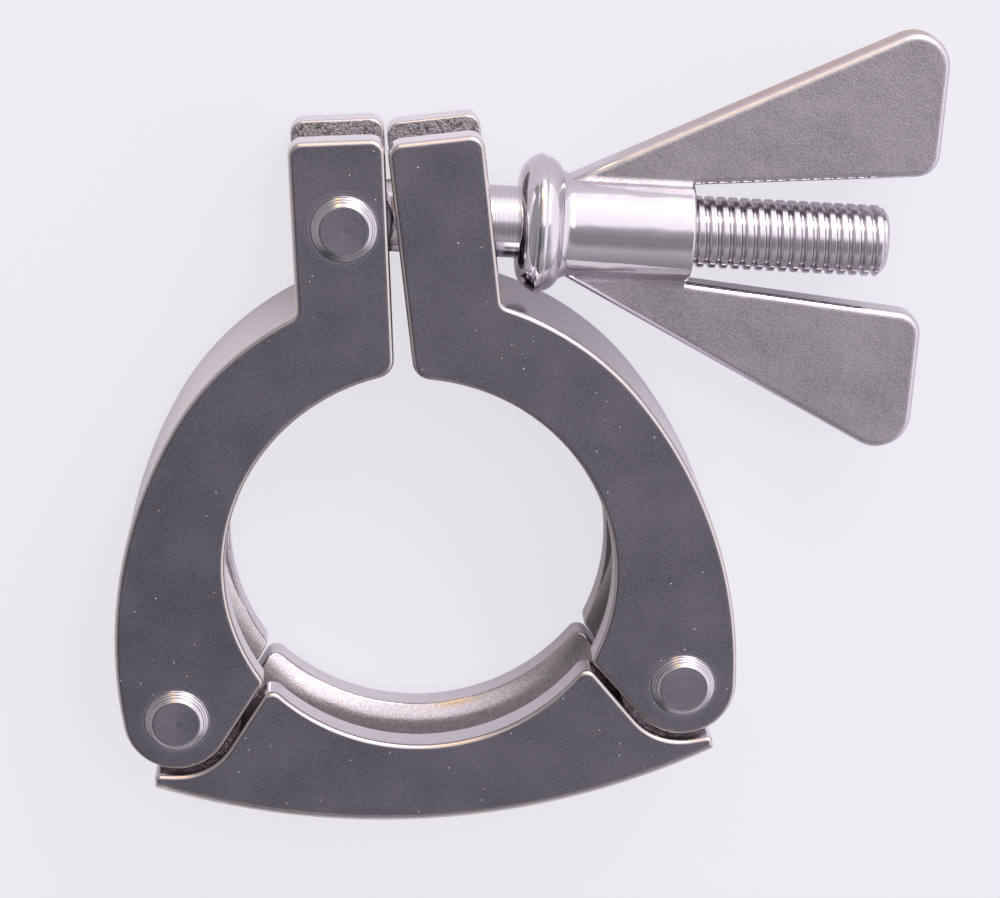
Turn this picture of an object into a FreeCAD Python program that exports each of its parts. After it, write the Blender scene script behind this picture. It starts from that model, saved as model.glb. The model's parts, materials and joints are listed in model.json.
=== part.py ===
import FreeCAD, Part

import math
import os

from FreeCAD import Vector

# Three-segment sanitary clamp for a pair of ferrules, closed, with its bolt swung in and its
# wing nut on. All sizes are in millimetres and all angles in degrees.
#
# The origin is the centre of the clamp's bore, half way through its depth. +Z runs along the
# bore, +Y from the bottom segment up to the ears, and the bolt points towards +X.
# Both arms are modelled where they sit on the ferrules, with their lips round the origin, and are
# then turned about their hinge pins until the ears nearly meet, as the empty clamp lies.

# The ferrules and the groove that draws them together
ferrule_d = 64.0          # outer diameter of the ferrules
root_gap = 2.0            # from the ferrules' rim to the bottom of the groove
flank_angle = 20.0        # slope of the ferrules' backs and of the groove's flanks
groove_mouth = 10.65      # width of the groove between the two lips
lip_grip = 4.3            # how far the lips reach in over the ferrules' rims

# Common section
clamp_depth = 19.05       # along the bore
face_edge_r = 0.7         # polished edge round the flat faces
lip_edge_r = 0.3          # edge between a lip and the groove

# Hinges between the bottom segment and the arms
hinge_angle = 31.75       # how far below the horizontal the hinges lie, from the bore's centre
hinge_wall = 6.7          # from the bottom of the groove out to the pin's centre
hinge_pin_d = 6.0
hinge_lobe_r = 7.35       # rounded lower end of each arm
hinge_slot = 8.6          # between the two plates of an arm
hinge_floor_gap = 0.55    # between the floor of that slot and the bottom segment's toes
tongue_r = 6.8            # end of the bottom segment's tongue, about the pin
tongue_side_gap = 0.3     # between the tongue and each plate of the arm
scallop_gap = 0.9         # between an arm's lobe and the bottom segment

# Arms
ring_wall = 5.55          # of the arm outside the groove
side_r = 63.4             # outside of the arm from there down to the hinge
arm_lip_end = 35.3        # how far below the horizontal the arm's lips reach
arm_tip_r = 1.0           # corner at the lower end of the lips
arm_shoulder_r = 1.2      # hollow corner below the ear
arm_heel_r = 2.6          # corner between the lips and the ear
left_closing = 3.65       # turn of the left arm from the ferrules to the closed position
right_closing = 4.95      # turn of the right arm

# Ears
pivot_x = 11.3            # bolt pivot on the left arm, from the bore's centre
pivot_rise = 7.45         # from the top of the arm's ring up to the pivot
ear_lean = 2.2            # outward lean
ear_inner = 5.7           # from the pivot to the ear's inner side
ear_outer = 6.8           # from the pivot to the ear's outer side
ear_top = 11.5            # from the pivot to the ear's top
ear_top_r = 1.9           # corners at the top
ear_slot = 10.5           # between the two plates of an ear
ear_slot_drop = 8.5       # from the pivot down to the slot's floor
ear_slot_edge_r = 0.4

# Bottom segment
lip_end_gap = 3.6         # between the ends of its lips and the arms', about the bore's centre
horn_r = 1.6              # tip between the lips and the scallop
base_wall = 5.2           # below the groove, in the middle
base_edge_r = 1.6         # soft edge along the underside
base_edge_rise = 0.03     # its crown above the flat face, which it meets at a slight angle
toe_reach = 3.85          # from the hinge pin's centre out to the toe's end
toe_rise = 6.0            # slope of the toes' upper side
toe_t = 2.3               # thickness of the toes' ends
toe_r = 0.8               # upper corner of the toes

# Pins, with a formed head on both ends
pivot_pin_d = 6.0
head_d = 8.8
head_h = 1.4
head_top_d = 6.6
head_dimple_d = 1.0
head_dimple_h = 0.2
rivet_gap = 0.02          # round a pin in the plates that hold it
running_gap = 0.05        # round a pin in the piece that turns on it

# Swing bolt
bolt_d = 9.525
bolt_reach = 72.2         # from the pivot to the bolt's end
bolt_chamfer = 0.9
bolt_dip_angle = 6.85     # how far the bolt points below the horizontal
eye_r = 6.6
eye_side_gap = 0.15       # between the eye and each plate of the ear
eye_edge_r = 0.8

# Wing nut, measured along the bolt from the pivot
nut_bore_gap = 0.05       # round the bolt
nose_u = 23.0             # face towards the ear
nose_r = 5.6
collar_u = 25.7           # widest ring
collar_r = 9.3
collar_crest_r = 0.7
neck_u = 28.6             # behind the collar
neck_r = 7.3
barrel_u = 46.1           # end of the barrel
barrel_r = 6.8
barrel_edge_r = 0.5
wing_root_u = 29.9        # where a wing's outer edge leaves the barrel
wing_root_v = 6.9
wing_angle = 26.7         # slope of the outer edge
wing_tip_u = 78.2
wing_inner_v = 6.6        # inner edge at the barrel's end
wing_inner_angle = 5.1    # slope of the inner edge
wing_tip_r = 4.6
wing_heel_r = 3.2
wing_t = 4.5
wing_edge_r = 1.0

# Sizes that follow from the ones above
groove_root_r = ferrule_d / 2 + root_gap
lip_r = ferrule_d / 2 - lip_grip
ring_r = groove_root_r + ring_wall
pivot_y = ring_r + pivot_rise
hinge_x = (groove_root_r + hinge_wall) * math.cos(math.radians(hinge_angle))
hinge_drop = (groove_root_r + hinge_wall) * math.sin(math.radians(hinge_angle))
tongue_t = hinge_slot - 2 * tongue_side_gap
scallop_r = hinge_lobe_r + scallop_gap
toe_x = hinge_x + toe_reach
toe_depth = scallop_r / math.cos(math.radians(toe_rise)) - toe_reach * math.tan(math.radians(toe_rise))
hinge_slot_r = math.hypot(toe_reach, toe_depth) + hinge_floor_gap
base_drop = groove_root_r + base_wall
base_rise = base_drop - (hinge_drop + toe_depth + toe_t)
base_arc_r = (toe_x ** 2 + base_rise ** 2) / (2 * base_rise)
eye_t = ear_slot - 2 * eye_side_gap
nut_bore_d = bolt_d + 2 * nut_bore_gap

ORIGIN = Vector(0, 0, 0)
BORE = Vector(0, 0, 1)
LEFT_HINGE = Vector(-hinge_x, -hinge_drop, 0)
RIGHT_HINGE = Vector(hinge_x, -hinge_drop, 0)
PIVOT = Vector(-pivot_x, pivot_y, 0)
BASE_CENTRE = Vector(0, base_arc_r - base_drop, 0)


# Small drawing helpers

def polar(centre, radius, angle):
    a = math.radians(angle)
    return centre + Vector(radius * math.cos(a), radius * math.sin(a), 0)


def bearing(centre, point):
    return math.degrees(math.atan2(point.y - centre.y, point.x - centre.x))


def line(start, end):
    return Part.makeLine(start, end)


def arc(centre, start, end, clockwise):
    """The arc about a centre from one point to another."""
    radius = (start - centre).Length
    first = bearing(centre, start)
    sweep = (bearing(centre, end) - first) % 360
    if clockwise:
        sweep -= 360
    return Part.Arc(start, polar(centre, radius, first + sweep / 2), end).toShape()


def circles_meet(c1, r1, c2, r2, side):
    """The crossing of two circles to the left (side 1) or right (side -1) of c1 to c2."""
    way = c2 - c1
    gap = way.Length
    along = (gap ** 2 + r1 ** 2 - r2 ** 2) / (2 * gap)
    across = math.sqrt(r1 ** 2 - along ** 2)
    way.normalize()
    return c1 + way * along + Vector(-way.y, way.x, 0) * (side * across)


def tangent_point(start, centre, radius, side):
    """Where the line from a point touches a circle, on the left or right of the way to its centre."""
    reach = math.sqrt((centre - start).Length ** 2 - radius ** 2)
    return circles_meet(start, reach, centre, radius, side)


def hit_circle(start, way, radius):
    """Where a ray from outside first meets a circle about the origin."""
    b = start.dot(way)
    return start + way * (-b - math.sqrt(b ** 2 - start.dot(start) + radius ** 2))


def plate(edges, thickness):
    """A closed outline made into a plate that is centred on the clamp's middle plane."""
    face = Part.Face(Part.Wire(Part.__sortEdges__(edges)))
    face.translate(BORE * (-thickness / 2))
    return face.extrude(BORE * thickness)


def disc(centre, radius, thickness):
    return Part.makeCylinder(radius, thickness, centre - BORE * (thickness / 2), BORE)


def middle(edge):
    return edge.valueAt((edge.FirstParameter + edge.LastParameter) / 2)


def flat_distance(point, other):
    """The distance between two points, seen along the bore."""
    return math.hypot(point.x - other.x, point.y - other.y)


def in_plane(edge, height):
    """Whether an edge lies flat at a height above or below the clamp's middle plane."""
    return abs(abs(middle(edge).z) - height) < 1e-4 and edge.BoundBox.ZLength < 1e-4


def corner_edge(shape, point):
    """The edge parallel to the bore that stands on a point of the outline."""
    upright = [e for e in shape.Edges if abs(e.tangentAt(e.FirstParameter).z) > 0.999]
    return min(upright, key=lambda e: flat_distance(middle(e), point))


def round_corner(shape, point, radius):
    return shape.makeFillet(radius, [corner_edge(shape, point)])


def rim_edges(shape, depth):
    """The edges of the two flat faces of a plate."""
    return [e for e in shape.Edges if in_plane(e, depth / 2)]


def groove():
    """The V groove round the ferrules, as a solid to cut away."""
    slope = math.tan(math.radians(flank_angle))
    inner_r = lip_r / 2
    root_half = groove_mouth / 2 - (groove_root_r - lip_r) * slope
    inner_half = groove_mouth / 2 + (lip_r - inner_r) * slope
    outline = [
        Vector(inner_r, 0, -inner_half),
        Vector(groove_root_r, 0, -root_half),
        Vector(groove_root_r, 0, root_half),
        Vector(inner_r, 0, inner_half),
    ]
    section = Part.Face(Part.makePolygon(outline + outline[:1]))
    return section.revolve(ORIGIN, BORE, 360)


def groove_edges(shape):
    """The edges between the lips and the groove."""
    return [
        e for e in shape.Edges
        if in_plane(e, groove_mouth / 2) and abs(flat_distance(middle(e), ORIGIN) - lip_r) < 1e-3
    ]


# Arms

def ear_way():
    """The direction from the left ear's foot to its top."""
    return Vector(-math.sin(math.radians(ear_lean)), math.cos(math.radians(ear_lean)), 0)


def arm_blank():
    """The left arm's outline at full depth, with its corners and edges rounded."""
    up = ear_way()
    inward = Vector(up.y, -up.x, 0)
    side_centre = circles_meet(ORIGIN, side_r - ring_r, LEFT_HINGE, side_r - hinge_lobe_r, 1)

    lip_tip = polar(ORIGIN, lip_r, 180 + arm_lip_end)
    heel = hit_circle(PIVOT + inward * ear_inner, up * -1, lip_r)
    top_inner = PIVOT + inward * ear_inner + up * ear_top
    top_outer = PIVOT - inward * ear_outer + up * ear_top
    shoulder = hit_circle(PIVOT - inward * ear_outer, up * -1, ring_r)
    ring_end = polar(ORIGIN, ring_r, bearing(side_centre, ORIGIN))
    side_end = polar(LEFT_HINGE, hinge_lobe_r, bearing(side_centre, LEFT_HINGE))
    lobe_end = tangent_point(lip_tip, LEFT_HINGE, hinge_lobe_r, 1)

    blank = plate([
        arc(ORIGIN, lip_tip, heel, True),
        line(heel, top_inner),
        line(top_inner, top_outer),
        line(top_outer, shoulder),
        arc(ORIGIN, shoulder, ring_end, False),
        arc(side_centre, ring_end, side_end, False),
        arc(LEFT_HINGE, side_end, lobe_end, False),
        line(lobe_end, lip_tip),
    ], clamp_depth)
    blank = round_corner(blank, lip_tip, arm_tip_r)
    blank = round_corner(blank, heel, arm_heel_r)
    blank = round_corner(blank, top_inner, ear_top_r)
    blank = round_corner(blank, top_outer, ear_top_r)
    blank = round_corner(blank, shoulder, arm_shoulder_r)
    return blank.makeFillet(face_edge_r, rim_edges(blank, clamp_depth))


def ear_slot_cut():
    """The slot that the bolt swings through, open at the top and at both sides of the ear."""
    width = 2 * (ear_inner + ear_outer)
    height = ear_slot_drop + 2 * ear_top
    cut = Part.makeBox(width, height, ear_slot, Vector(-width / 2, -ear_slot_drop, -ear_slot / 2))
    cut.rotate(ORIGIN, BORE, ear_lean)
    cut.translate(PIVOT)
    return cut


def ear_slot_edges(arm):
    """The open edges of the ear's slot, along both plates and across both ends of its floor."""
    found = []
    for e in arm.Edges:
        above_floor = (middle(e) - PIVOT).dot(ear_way()) + ear_slot_drop
        across_floor = abs(above_floor) < 1e-3 and e.BoundBox.ZLength > ear_slot - 1e-3
        along_plate = above_floor > 1e-3 and in_plane(e, ear_slot / 2)
        if across_floor or along_plate:
            found.append(e)
    return found


def arm_on_ferrule():
    """The left arm as it sits on the ferrules."""
    arm = arm_blank().cut(groove())
    arm = arm.makeFillet(lip_edge_r, groove_edges(arm))
    arm = arm.cut(ear_slot_cut())
    arm = arm.makeFillet(ear_slot_edge_r, ear_slot_edges(arm))
    arm = arm.cut(disc(LEFT_HINGE, hinge_slot_r, hinge_slot))
    return arm.cut(disc(LEFT_HINGE, hinge_pin_d / 2 + rivet_gap, 2 * clamp_depth))


def mirrored(shape):
    return shape.mirror(ORIGIN, Vector(1, 0, 0))


def close_left(shape):
    """Turn a shape with the left arm from the ferrules to the closed position."""
    turned = shape.copy()
    turned.rotate(LEFT_HINGE, BORE, -left_closing)
    return turned


def close_right(shape):
    turned = shape.copy()
    turned.rotate(RIGHT_HINGE, BORE, right_closing)
    return turned


def left_segment():
    arm = arm_on_ferrule()
    arm = arm.cut(disc(PIVOT, pivot_pin_d / 2 + rivet_gap, 2 * clamp_depth))
    return close_left(arm)


def right_segment():
    return close_right(mirrored(arm_on_ferrule()))


# Bottom segment

def base_point(x):
    """The point of the underside at a distance from the middle."""
    return BASE_CENTRE + Vector(x, -math.sqrt(base_arc_r ** 2 - x ** 2), 0)


def scallop_points(side):
    """Horn, start and end of the scallop and top of the toe, on the right (1) or left (-1)."""
    horn = polar(ORIGIN, lip_r, -arm_lip_end - lip_end_gap)
    start = tangent_point(horn, RIGHT_HINGE, scallop_r, -1)
    end = polar(RIGHT_HINGE, scallop_r, toe_rise - 90)
    toe = end + Vector(1, math.tan(math.radians(toe_rise)), 0) * (toe_x - end.x)
    return [Vector(side * p.x, p.y, 0) for p in (horn, start, end, toe)]


def tongue(side):
    """The middle layer that reaches between an arm's plates, round the hinge pin."""
    horn, start, end, toe = scallop_points(side)
    hinge = RIGHT_HINGE if side > 0 else LEFT_HINGE
    reach = hinge_slot_r - hinge_floor_gap
    back = math.sqrt(reach ** 2 - scallop_r ** 2)
    way = (horn - start).normalize()
    brow = start + way * back
    crown = tangent_point(brow, hinge, tongue_r, -side)
    foot = base_point(side * hinge_x * 0.8)
    web = plate([
        line(hinge, crown),
        line(crown, brow),
        line(brow, foot),
        line(foot, base_point(side * (toe_x - toe_r))),
        line(base_point(side * (toe_x - toe_r)), Vector(side * toe_x, toe.y, 0)),
        line(Vector(side * toe_x, toe.y, 0), Vector(side * toe_x, -hinge_drop, 0)),
        line(Vector(side * toe_x, -hinge_drop, 0), hinge),
    ], tongue_t)
    return web.fuse(disc(hinge, tongue_r, tongue_t))


def below_base():
    """The space below the underside and round its soft edges, as a ring to cut away."""
    crown = clamp_depth / 2 + base_edge_rise
    foot = crown - base_edge_r
    inner_r = base_arc_r - base_edge_r
    halfway = polar(Vector(inner_r, foot, 0), base_edge_r, 45)
    upper = Part.Arc(
        Vector(base_arc_r, 0, foot), Vector(halfway.x, 0, halfway.y), Vector(inner_r, 0, crown)
    ).toShape()
    around = [
        Vector(inner_r, 0, crown),
        Vector(inner_r, 0, clamp_depth),
        Vector(base_arc_r + base_drop, 0, clamp_depth),
        Vector(base_arc_r + base_drop, 0, -clamp_depth),
        Vector(inner_r, 0, -clamp_depth),
        Vector(inner_r, 0, -crown),
    ]
    wall = line(Vector(base_arc_r, 0, foot), Vector(base_arc_r, 0, -foot))
    edges = [upper, upper.mirror(ORIGIN, BORE), wall]
    edges += [line(a, b) for a, b in zip(around, around[1:])]
    ring = Part.Face(Part.Wire(Part.__sortEdges__(edges))).revolve(ORIGIN, BORE, 360)
    ring.translate(BASE_CENTRE)
    return ring


def bottom_segment():
    right = scallop_points(1)
    left = scallop_points(-1)
    low = -base_drop - base_edge_r
    body = plate([
        arc(ORIGIN, left[0], right[0], False),
        line(right[0], right[1]),
        arc(RIGHT_HINGE, right[1], right[2], False),
        line(right[2], right[3]),
        line(right[3], Vector(toe_x, low, 0)),
        line(Vector(toe_x, low, 0), Vector(-toe_x, low, 0)),
        line(Vector(-toe_x, low, 0), left[3]),
        line(left[3], left[2]),
        arc(LEFT_HINGE, left[2], left[1], False),
        line(left[1], left[0]),
    ], clamp_depth)
    for horn in (left[0], right[0]):
        body = round_corner(body, horn, horn_r)
    for toe in (left[3], right[3]):
        body = round_corner(body, toe, toe_r)
    rims = [e for e in rim_edges(body, clamp_depth) if middle(e).y > low + 1e-3]
    body = body.makeFillet(face_edge_r, rims)
    body = body.cut(below_base())
    body = body.cut(groove())
    body = body.makeFillet(lip_edge_r, groove_edges(body))
    for side, hinge in ((1, RIGHT_HINGE), (-1, LEFT_HINGE)):
        body = body.fuse(tongue(side))
        body = body.cut(disc(hinge, hinge_pin_d / 2 + running_gap, 2 * clamp_depth))
    return body.removeSplitter()


# Pins, bolt and nut

def headed_pin(diameter):
    """A pin through the clamp's depth with a flared, flat-topped head at both ends."""
    half = clamp_depth / 2
    top = half + head_h
    outline = [
        Vector(0, 0, 0),
        Vector(diameter / 2, 0, 0),
        Vector(diameter / 2, 0, half),
        Vector(head_d / 2, 0, half),
        Vector(head_top_d / 2, 0, top),
        Vector(head_dimple_d / 2, 0, top),
        Vector(0, 0, top - head_dimple_h),
    ]
    half_pin = Part.Face(Part.makePolygon(outline + outline[:1])).revolve(ORIGIN, BORE, 360)
    return half_pin.fuse(half_pin.mirror(ORIGIN, BORE)).removeSplitter()


def hinge_pin(hinge):
    pin = headed_pin(hinge_pin_d)
    pin.translate(hinge)
    return pin


def bolt_pivot_pin():
    pin = headed_pin(pivot_pin_d)
    pin.translate(PIVOT)
    return close_left(pin)


def on_bolt_axis(shape):
    """Move a shape drawn along +X from the pivot onto the bolt's line."""
    placed = shape.copy()
    placed.rotate(ORIGIN, BORE, -bolt_dip_angle)
    placed.translate(close_left(Part.Vertex(PIVOT)).Point)
    return placed


def swing_bolt():
    eye = disc(ORIGIN, eye_r, eye_t)
    eye = eye.makeFillet(eye_edge_r, rim_edges(eye, eye_t))
    rod = Part.makeCylinder(bolt_d / 2, bolt_reach, ORIGIN, Vector(1, 0, 0))
    end = [e for e in rod.Edges if e.CenterOfMass.x > bolt_reach - 1e-6 and hasattr(e.Curve, "Radius")]
    rod = rod.makeChamfer(bolt_chamfer, end)
    bolt = eye.fuse(rod).cut(disc(ORIGIN, pivot_pin_d / 2 + running_gap, 2 * clamp_depth))
    return on_bolt_axis(bolt.removeSplitter())


def nut_body():
    """Collar, neck and barrel, turned about the bolt."""
    bore_r = nut_bore_d / 2
    nose = Vector(nose_u, nose_r, 0)
    crest_front = Vector(collar_u - collar_crest_r, collar_r - collar_crest_r * 0.4, 0)
    crest = Vector(collar_u, collar_r, 0)
    crest_back = Vector(collar_u + collar_crest_r, collar_r - collar_crest_r * 0.4, 0)
    neck = Vector(neck_u, neck_r, 0)
    dome = (nose + crest_front) * 0.5 + Vector(-1, 1, 0).normalize() * 0.7
    back = (crest_back + neck) * 0.5 + Vector(1, 1, 0).normalize() * 0.35
    run = (neck_r - barrel_r) * 3
    fade = Vector(neck_u + run / 2, barrel_r + (neck_r - barrel_r) * 0.25, 0)
    barrel_start = Vector(neck_u + run, barrel_r, 0)
    edge_start = Vector(barrel_u - barrel_edge_r, barrel_r, 0)
    edge_mid = polar(Vector(barrel_u - barrel_edge_r, barrel_r - barrel_edge_r, 0), barrel_edge_r, 45)
    edge_end = Vector(barrel_u, barrel_r - barrel_edge_r, 0)
    profile = Part.Wire([
        line(Vector(nose_u, bore_r, 0), nose),
        Part.Arc(nose, dome, crest_front).toShape(),
        Part.Arc(crest_front, crest, crest_back).toShape(),
        Part.Arc(crest_back, back, neck).toShape(),
        Part.Arc(neck, fade, barrel_start).toShape(),
        line(barrel_start, edge_start),
        Part.Arc(edge_start, edge_mid, edge_end).toShape(),
        line(edge_end, Vector(barrel_u, bore_r, 0)),
        line(Vector(barrel_u, bore_r, 0), Vector(nose_u, bore_r, 0)),
    ])
    return Part.Face(profile).revolve(ORIGIN, Vector(1, 0, 0), 360)


def wing():
    """The upper wing, a plate with round rims that starts inside the barrel's wall."""
    slope = math.tan(math.radians(wing_angle))
    inner_slope = math.tan(math.radians(wing_inner_angle))
    sunk_v = (nut_bore_d / 2 + barrel_r) / 2
    root = Vector(wing_root_u - (wing_root_v - sunk_v) / slope, sunk_v, 0)
    tip = Vector(wing_tip_u, wing_root_v + (wing_tip_u - wing_root_u) * slope, 0)
    heel = Vector(wing_tip_u, wing_inner_v + (wing_tip_u - barrel_u) * inner_slope, 0)
    notch = Vector(barrel_u - barrel_edge_r, wing_inner_v - barrel_edge_r * inner_slope, 0)
    outline = [root, tip, heel, notch, Vector(notch.x, sunk_v, 0)]
    edges = [line(a, b) for a, b in zip(outline, outline[1:] + outline[:1])]
    blade = plate(edges, wing_t)
    blade = round_corner(blade, tip, wing_tip_r)
    blade = round_corner(blade, heel, wing_heel_r)
    rims = [e for e in rim_edges(blade, wing_t) if middle(e).y > wing_inner_v]
    return blade.makeFillet(wing_edge_r, rims)


def wing_nut():
    upper = wing()
    lower = upper.mirror(ORIGIN, Vector(0, 1, 0))
    nut = nut_body().fuse([upper, lower])
    return on_bolt_axis(nut.removeSplitter())


os.makedirs("parts", exist_ok=True)
nodes = {
    "bottom_segment": bottom_segment(),
    "left_segment": left_segment(),
    "right_segment": right_segment(),
    "left_hinge_pin": hinge_pin(LEFT_HINGE),
    "right_hinge_pin": hinge_pin(RIGHT_HINGE),
    "bolt_pivot_pin": bolt_pivot_pin(),
    "swing_bolt": swing_bolt(),
    "wing_nut": wing_nut(),
}
for name, shape in nodes.items():
    print(name, shape.isValid(), len(shape.Solids), round(shape.Volume, 2))
    shape.exportStep(f"parts/{name}.step")
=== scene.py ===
import json
import math

import bmesh
import bpy
from bpy.props import FloatProperty, FloatVectorProperty, IntProperty, PointerProperty
from mathutils import Matrix, Vector


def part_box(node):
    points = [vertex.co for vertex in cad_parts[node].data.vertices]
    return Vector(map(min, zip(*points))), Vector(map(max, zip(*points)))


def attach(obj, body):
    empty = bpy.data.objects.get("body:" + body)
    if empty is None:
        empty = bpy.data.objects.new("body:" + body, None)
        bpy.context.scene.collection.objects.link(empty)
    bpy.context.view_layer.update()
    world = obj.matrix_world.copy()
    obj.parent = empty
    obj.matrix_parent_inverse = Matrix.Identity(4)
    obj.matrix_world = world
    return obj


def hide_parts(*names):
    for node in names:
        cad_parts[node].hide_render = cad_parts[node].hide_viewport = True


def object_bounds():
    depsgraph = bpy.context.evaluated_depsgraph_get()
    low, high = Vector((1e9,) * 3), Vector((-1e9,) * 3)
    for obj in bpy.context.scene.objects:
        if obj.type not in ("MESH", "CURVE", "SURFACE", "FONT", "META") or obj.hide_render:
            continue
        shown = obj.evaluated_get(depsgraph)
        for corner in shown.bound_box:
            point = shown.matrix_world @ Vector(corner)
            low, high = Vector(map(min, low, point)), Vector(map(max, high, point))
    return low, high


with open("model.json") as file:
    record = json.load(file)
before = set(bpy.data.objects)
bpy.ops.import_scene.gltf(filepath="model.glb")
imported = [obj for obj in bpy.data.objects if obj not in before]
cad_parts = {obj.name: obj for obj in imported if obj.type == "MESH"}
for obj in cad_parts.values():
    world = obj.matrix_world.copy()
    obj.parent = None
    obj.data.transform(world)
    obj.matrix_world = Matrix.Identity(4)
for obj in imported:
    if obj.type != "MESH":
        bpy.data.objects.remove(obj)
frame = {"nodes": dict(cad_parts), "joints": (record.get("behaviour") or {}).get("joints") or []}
CAD_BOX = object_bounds()

bl_info = {
    "name": "Three-segment sanitary clamp",
    "version": (1, 0, 0),
    "blender": (4, 5, 0),
    "location": "View3D > Sidebar > Clamp",
    "description": "Dresses the packed clamp: finishes, bolt thread, turned pins, floor and light",
    "category": "Object",
}

MM = 0.001
SEGMENTS = ("bottom_segment", "left_segment", "right_segment")
HINGE_PINS = ("left_hinge_pin", "right_hinge_pin")
PIN_BODIES = {
    "left_hinge_pin": "left_arm",
    "right_hinge_pin": "right_arm",
    "bolt_pivot_pin": "left_arm",
}

# Shares of facing straight up or down: a side turns into a rounded edge between the first two, and
# an edge into a flat face between the other two.
SIDE_TO_EDGE = (0.10, 0.45)
EDGE_TO_FACE = (0.90, 0.985)

# Where each recess begins and is full, and its reach from the clamp's middle plane, in millimetres.
# The groove is told by how far its wall looks in at the bore's axis, the ears' slots by the height
# over that axis, and the hinges' slots by the distance from the pin.
GROOVE, GROOVE_HALF = (0.0, -4.0), 5.40
EAR_SLOT, EAR_SLOT_HALF = (36.0, 36.6), 5.28
HINGE_SLOT, HINGE_SLOT_HALF = (10.8, 10.2), 4.40
RECESS_EDGE = 0.03

# Rings pressed into the face round a pin's head: radius and half width in millimetres, strength.
PRESSED_RINGS = ((4.62, 0.16, 1.0), (5.05, 0.10, 0.6))

FLANK_ANGLE = math.radians(30)
CREST_ROUNDING = 0.12
WELD = 1e-7

# A Mix node's sockets for two numbers, for two colours, and for the colour that it gives.
NUMBER_A, NUMBER_B = 2, 3
COLOUR_A, COLOUR_B, COLOUR_OUT = 6, 7, 2


def linear(hex_colour):
    """An sRGB hex colour as linear red, green and blue."""
    parts = [int(hex_colour[i:i + 2], 16) / 255 for i in (1, 3, 5)]
    return tuple(c / 12.92 if c <= 0.04045 else ((c + 0.055) / 1.055) ** 2.4 for c in parts)


def shade(colour, factor=1.0):
    """A colour made lighter or darker, as a node's red, green, blue and alpha."""
    return (*(min(c * factor, 1.0) for c in colour), 1.0)


def joint(name):
    """The frame's entry for a joint."""
    return next(j for j in frame["joints"] if j["name"] == name)


def centre(node):
    """The middle of a node's box."""
    low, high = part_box(node)
    return (low + high) / 2


def bolt_axis():
    """The way the bolt points from its pivot at rest."""
    return Vector(joint("nut_travel")["axis"]).normalized()


def bolt_place():
    """The matrix from the bolt's own frame, +X along its thread from the pivot, to the clamp's."""
    along = bolt_axis()
    across = Vector((0, 0, 1)).cross(along)
    turn = Matrix((along, across, (0, 0, 1))).transposed().to_4x4()
    return Matrix.Translation(Vector(joint("bolt_swing")["pos_m"])) @ turn


class ClampSizes(bpy.types.PropertyGroup):
    """Sizes of what is added to the clamp here, in millimetres."""

    shank_d: FloatProperty(name="Shank", description="Diameter of the bolt", default=9.52, min=5)
    bolt_reach: FloatProperty(
        name="Reach", description="From the pivot to the bolt's end", default=72.2, min=40,
    )
    thread_start: FloatProperty(
        name="Thread start", description="From the pivot to the thread", default=26.5, min=10,
    )
    thread_pitch: FloatProperty(
        name="Pitch", description="3/8 inch coarse thread", default=1.5875, min=0.3,
    )
    thread_depth: FloatProperty(
        name="Thread depth", description="From crest to root", default=0.52, min=0.1,
    )
    crest: FloatProperty(
        name="Crest", description="Flat share of the pitch", subtype="FACTOR",
        default=0.46, min=0.1, max=0.6,
    )
    end_chamfer: FloatProperty(
        name="End chamfer", description="At the bolt's end", default=0.9, min=0.1,
    )
    eye_d: FloatProperty(name="Eye", description="Outside of the bolt's eye", default=13.2, min=8)
    eye_t: FloatProperty(name="Eye thickness", description="Along its pin", default=10.2, min=2)
    eye_bore: FloatProperty(name="Eye bore", description="Hole for the pin", default=6.1, min=3)
    eye_edge: FloatProperty(
        name="Eye edge", description="Rounding of the eye's rims", default=0.8, min=0.1,
    )
    pin_d: FloatProperty(name="Pin", description="Shank of each pin", default=6.0, min=3)
    head_d: FloatProperty(
        name="Pin head", description="Foot of a pin's head", default=8.8, min=6,
    )
    head_top_d: FloatProperty(
        name="Head top", description="Flat top of a pin's head", default=6.6, min=3,
    )
    head_h: FloatProperty(
        name="Head height", description="Above the clamp's face", default=1.4, min=0.5,
    )
    clamp_depth: FloatProperty(
        name="Depth of the clamp", description="Along its bore", default=19.05, min=10,
    )
    round_steps: IntProperty(
        name="Round steps", description="Facets round a turned piece", default=96, min=12,
    )


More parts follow.
